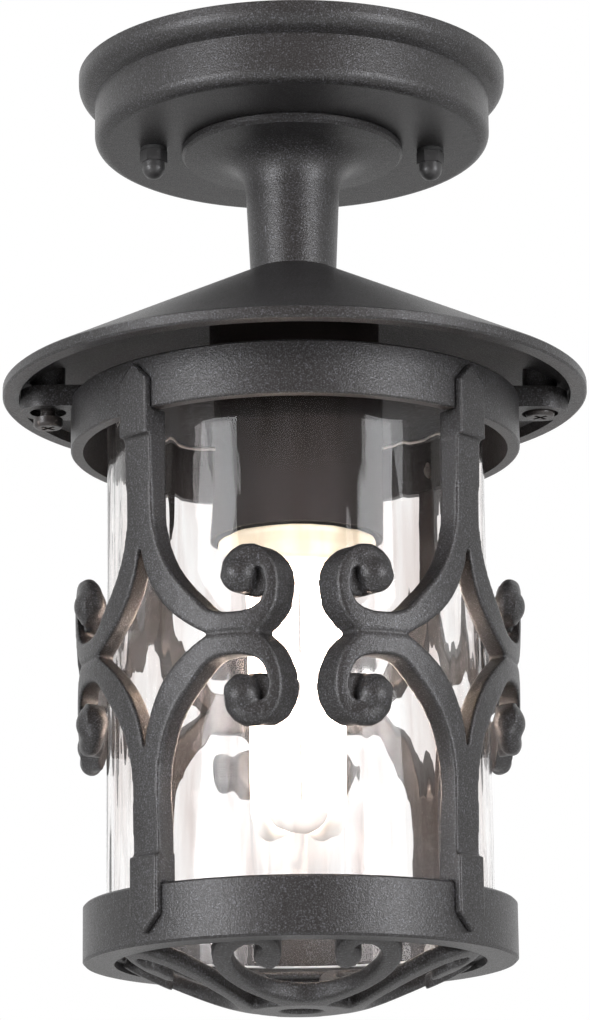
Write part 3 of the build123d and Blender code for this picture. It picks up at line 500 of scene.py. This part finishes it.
def ripple_tree():
    """Glass tube whose outer and inner faces carry long upright ripples."""
    tree, sizes, output = new_tree(
        "rippled_tube",
        ("Radius", "NodeSocketFloat", 0.08), ("Wall", "NodeSocketFloat", 0.0035), ("Height", "NodeSocketFloat", 0.2),
        ("Middle", "NodeSocketVector", None), ("Around", "NodeSocketInt", 300), ("Upright", "NodeSocketInt", 60),
        ("Ripple", "NodeSocketFloat", 0.0004), ("Ripple width", "NodeSocketFloat", 0.01),
        ("Ripple length", "NodeSocketFloat", 0.08), ("Seed", "NodeSocketFloat", 1.0),
        ("Finish", "NodeSocketMaterial", None))
    tube = tree.nodes.new("GeometryNodeMeshCylinder")
    tube.fill_type = "NONE"
    for label, socket in (("Around", "Vertices"), ("Upright", "Side Segments"),
                          ("Radius", "Radius"), ("Height", "Depth")):
        tree.links.new(sizes.outputs[label], tube.inputs[socket])
    wall = tree.nodes.new("GeometryNodeExtrudeMesh")
    wall.inputs["Individual"].default_value = False
    tree.links.new(tube.outputs["Mesh"], wall.inputs["Mesh"])
    tree.links.new(maths(tree, "MULTIPLY", sizes.outputs["Wall"], -1.0), wall.inputs["Offset Scale"])
    outer = tree.nodes.new("GeometryNodeFlipFaces")
    tree.links.new(tube.outputs["Mesh"], outer.inputs["Mesh"])
    both = tree.nodes.new("GeometryNodeJoinGeometry")
    tree.links.new(outer.outputs["Mesh"], both.inputs["Geometry"])
    tree.links.new(wall.outputs["Mesh"], both.inputs["Geometry"])
    closed = tree.nodes.new("GeometryNodeMergeByDistance")
    closed.inputs["Distance"].default_value = 0.01 * MM
    tree.links.new(both.outputs["Geometry"], closed.inputs["Geometry"])
    facing = tree.nodes.new("GeometryNodeFlipFaces")
    tree.links.new(closed.outputs["Geometry"], facing.inputs["Mesh"])
    place = tree.nodes.new("GeometryNodeInputPosition").outputs["Position"]
    stretch = tree.nodes.new("ShaderNodeCombineXYZ")
    for axis, label in (("X", "Ripple width"), ("Y", "Ripple width"), ("Z", "Ripple length")):
        tree.links.new(maths(tree, "DIVIDE", 1.0, sizes.outputs[label]), stretch.inputs[axis])
    noise = tree.nodes.new("ShaderNodeTexNoise")
    noise.noise_dimensions = "4D"
    noise.inputs["Scale"].default_value = 1.0
    noise.inputs["Detail"].default_value = 0.6
    noise.inputs["Roughness"].default_value = 0.45
    noise.inputs["Distortion"].default_value = 0.2
    tree.links.new(vector_maths(tree, "MULTIPLY", place, stretch.outputs["Vector"]), noise.inputs["Vector"])
    level = vector_maths(tree, "MULTIPLY", place, (1.0, 1.0, 0.0))
    reach = tree.nodes.new("ShaderNodeVectorMath")
    reach.operation = "LENGTH"
    tree.links.new(level, reach.inputs[0])
    middle = maths(tree, "SUBTRACT", sizes.outputs["Radius"], maths(tree, "MULTIPLY", sizes.outputs["Wall"], 0.5))
    inside = maths(tree, "LESS_THAN", reach.outputs["Value"], middle)
    tree.links.new(maths(tree, "ADD", sizes.outputs["Seed"], maths(tree, "MULTIPLY", inside, 5.0)), noise.inputs["W"])
    outward = vector_maths(tree, "NORMALIZE", level)
    swell = maths(tree, "MULTIPLY", maths(tree, "SUBTRACT", noise.outputs["Fac"], 0.5), sizes.outputs["Ripple"])
    move = tree.nodes.new("GeometryNodeSetPosition")
    tree.links.new(facing.outputs["Mesh"], move.inputs["Geometry"])
    tree.links.new(vector_maths(tree, "SCALE", outward, scale=swell), move.inputs["Offset"])
    lower = tree.nodes.new("GeometryNodeTransform")
    tree.links.new(move.outputs["Geometry"], lower.inputs["Geometry"])
    tree.links.new(sizes.outputs["Middle"], lower.inputs["Translation"])
    finish_tree(tree, lower.outputs["Geometry"], sizes, output)
    return tree


GLASS_R = 77.2 * MM
GLASS_WALL = 3.0 * MM
GLASS_LIP = 1.0 * MM
RIPPLE = 1.7 * MM
RIPPLE_WIDTH = 13.0 * MM
RIPPLE_LENGTH = 130.0 * MM
RIPPLE_SEED = 3.0
RIM_ANGLE = 1.0


def rippled_glass():
    """Glass cylinder between the CAD glass's ends, its four rims rounded."""
    low, high = (corner.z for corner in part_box("glass_cylinder"))
    mesh = grown(
        ripple_tree(), "rippled_glass", radius=GLASS_R, wall=GLASS_WALL, height=high - low,
        middle=(0.0, 0.0, (low + high) / 2), around=420, upright=90, ripple=RIPPLE,
        ripple_width=RIPPLE_WIDTH, ripple_length=RIPPLE_LENGTH, seed=RIPPLE_SEED, finish=finishes["clear_glass"])
    build = bmesh.new()
    build.from_mesh(mesh)
    rims = [edge for edge in build.edges if len(edge.link_faces) == 2 and edge.calc_face_angle() > RIM_ANGLE]
    bmesh.ops.bevel(build, geom=rims, offset=GLASS_LIP, segments=3, affect="EDGES", profile=0.5)
    build.to_mesh(mesh)
    build.free()
    mesh.shade_smooth()
    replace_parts(add_piece("rippled_glass", mesh, "cage", "clear_glass"), "glass_cylinder")


rippled_glass()


def thread_tree():
    """Screw thread: one ridge wound around a shank."""
    tree, sizes, output = new_tree(
        "screw_thread",
        ("Radius", "NodeSocketFloat", 0.003), ("Ridge", "NodeSocketFloat", 0.0003),
        ("Pitch", "NodeSocketFloat", 0.001), ("Length", "NodeSocketFloat", 0.01),
        ("Low", "NodeSocketVector", None), ("Finish", "NodeSocketMaterial", None))
    turns = maths(tree, "DIVIDE", sizes.outputs["Length"], sizes.outputs["Pitch"])
    coil = tree.nodes.new("GeometryNodeCurveSpiral")
    coil.inputs["Resolution"].default_value = 28
    tree.links.new(turns, coil.inputs["Rotations"])
    tree.links.new(sizes.outputs["Radius"], coil.inputs["Start Radius"])
    tree.links.new(sizes.outputs["Radius"], coil.inputs["End Radius"])
    tree.links.new(sizes.outputs["Length"], coil.inputs["Height"])
    ridge = tree.nodes.new("GeometryNodeCurvePrimitiveCircle")
    ridge.inputs["Resolution"].default_value = 4
    tree.links.new(sizes.outputs["Ridge"], ridge.inputs["Radius"])
    wound = tree.nodes.new("GeometryNodeCurveToMesh")
    wound.inputs["Fill Caps"].default_value = True
    tree.links.new(coil.outputs["Curve"], wound.inputs["Curve"])
    tree.links.new(ridge.outputs["Curve"], wound.inputs["Profile Curve"])
    lift = tree.nodes.new("GeometryNodeTransform")
    tree.links.new(wound.outputs["Mesh"], lift.inputs["Geometry"])
    tree.links.new(sizes.outputs["Low"], lift.inputs["Translation"])
    finish_tree(tree, lift.outputs["Geometry"], sizes, output)
    return tree


threads = thread_tree()
THREAD_PITCH = 1.0 * MM
THREAD_RIDGE = 0.42 * THREAD_PITCH
THREAD_RUNOUT = 0.6 * MM
SCREW_R = 3.05 * MM
SCREW_HEAD_H = 3.8 * MM
STUD_R = 3.05 * MM
STUD_INSET = 5.5 * MM
STUD_THREAD = (-30.5 * MM, -12.5 * MM)
TUBE_R = 5.05 * MM
TUBE_TOP_THREAD = -21.5 * MM
TUBE_LOW_THREAD = (-158.5 * MM, -106.0 * MM)


def thread(name, body, slot, radius, across, low, high):
    """Thread on the shank at `across`, from low to high, its ridge half sunk in the shank."""
    mesh = grown(threads, name, radius=radius - 0.55 * THREAD_RIDGE, ridge=THREAD_RIDGE, pitch=THREAD_PITCH,
                 length=high - low, low=(across, 0.0, low), finish=finishes[slot])
    add_piece(name, mesh, body, slot)


for side in ("left", "right"):
    low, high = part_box("cage_screw_" + side)
    thread("cage_screw_thread_" + side, "screw_" + side, "black_screw", SCREW_R, (low.x + high.x) / 2,
           low.z + SCREW_HEAD_H + THREAD_RUNOUT, high.z - THREAD_RUNOUT)
low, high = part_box("bracket_studs")
for side, across in (("left", low.x + STUD_INSET), ("right", high.x - STUD_INSET)):
    thread("stud_thread_" + side, "fixture", "zinc_steel", STUD_R, across, *STUD_THREAD)
low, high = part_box("threaded_tube")
thread("tube_thread_top", "fixture", "black_steel", TUBE_R, 0.0, TUBE_TOP_THREAD, high.z - THREAD_RUNOUT)
thread("tube_thread_low", "fixture", "black_steel", TUBE_R, 0.0, *TUBE_LOW_THREAD)


# Stage and light
FLOOR_REACH = 6.0
FLOOR_LEVEL = -0.95
FLOOR_MIRRORED = 0.4
ROOM_LIGHT = 0.24
BOX_TINT = (0.96, 0.97, 1.0)


def stage_floor():
    """Pale floor under the lantern, a little brighter where metal and glass mirror it."""
    finish, tree, shader = new_finish("pale_floor")
    tree.links.new(ramp(tree, grain(tree, 900.0, 2.0), (0.3, (0.76, 0.75, 0.73)), (0.7, (0.80, 0.79, 0.77))),
                   shader.inputs["Base Color"])
    shader.inputs["Roughness"].default_value = 0.8
    path = tree.nodes.new("ShaderNodeLightPath")
    tree.links.new(maths(tree, "MULTIPLY", path.outputs["Is Glossy Ray"], FLOOR_MIRRORED),
                   shader.inputs["Emission Strength"])
    mesh = bpy.data.meshes.new("floor")
    corners = [(across * FLOOR_REACH, away * FLOOR_REACH, FLOOR_LEVEL)
               for across, away in ((-1, -1), (1, -1), (1, 1), (-1, 1))]
    mesh.from_pydata(corners, [], [(0, 1, 2, 3)])
    mesh.materials.append(finish)
    floor = bpy.data.objects.new("floor", mesh)
    scene.collection.objects.link(floor)


def soft_box(name, at, size, power, tint=(1, 1, 1)):
    """Rectangular studio light that faces the middle of the lantern."""
    data = bpy.data.lights.new(name, "AREA")
    data.shape = "RECTANGLE"
    data.size, data.size_y = size
    data.energy = power
    data.color = tint
    lamp = bpy.data.objects.new(name, data)
    lamp.location = at
    lamp.rotation_euler = (AIM - Vector(at)).to_track_quat("-Z", "Y").to_euler()
    scene.collection.objects.link(lamp)


def blended(tree, share, colour):
    """White turning into a colour by a share."""
    node = tree.nodes.new("ShaderNodeMix")
    node.data_type = "RGBA"
    node.inputs["A"].default_value = (1, 1, 1, 1)
    tree.links.new(share, node.inputs["Factor"])
    tree.links.new(colour, node.inputs["B"])
    return node.outputs["Result"]


def white_world():
    """White background for camera and glass, a warm room in front for reflections, plain dim light otherwise."""
    world = bpy.data.worlds.new("studio")
    scene.world = world
    world.use_nodes = True
    tree = world.node_tree
    plain = tree.nodes["Background"]
    plain.inputs["Color"].default_value = (0.97, 0.97, 1.0, 1)
    plain.inputs["Strength"].default_value = ROOM_LIGHT
    white = tree.nodes.new("ShaderNodeBackground")
    white.inputs["Strength"].default_value = 1.0
    path = tree.nodes.new("ShaderNodeLightPath")
    heading = tree.nodes.new("ShaderNodeTexCoord")
    split = tree.nodes.new("ShaderNodeSeparateXYZ")
    tree.links.new(heading.outputs["Generated"], split.inputs["Vector"])
    front = ramp(tree, spread(tree, split.outputs["Z"], 0.0, 1.0, 0.258, 0.272),
                 (0.0, (0.26, 0.20, 0.18)), (1.0, (0.66, 0.57, 0.54)))
    room = blended(tree, spread(tree, split.outputs["Y"], 1.0, 0.0, -0.85, -0.05), front)
    shown = blended(tree, path.outputs["Is Glossy Ray"], room)
    tree.links.new(shown, white.inputs["Color"])
    direct = maths(tree, "MAXIMUM", path.outputs["Is Camera Ray"], path.outputs["Is Glossy Ray"])
    seen = maths(tree, "MAXIMUM", direct, path.outputs["Is Transmission Ray"])
    mix = tree.nodes.new("ShaderNodeMixShader")
    tree.links.new(seen, mix.inputs["Fac"])
    tree.links.new(plain.outputs["Background"], mix.inputs[1])
    tree.links.new(white.outputs["Background"], mix.inputs[2])
    tree.links.new(mix.outputs["Shader"], tree.nodes["World Output"].inputs["Surface"])


stage_floor()
soft_box("soft_box_left", (-1.47, -1.21, -0.06), (0.82, 0.95), 29.0, BOX_TINT)
soft_box("soft_box_right", (1.36, -1.33, -0.06), (0.82, 0.95), 28.0, BOX_TINT)
soft_box("soft_box_above", (0.0, 0.4, 1.9), (2.2, 2.2), 3.0)
white_world()
scene.view_settings.view_transform = "Standard"
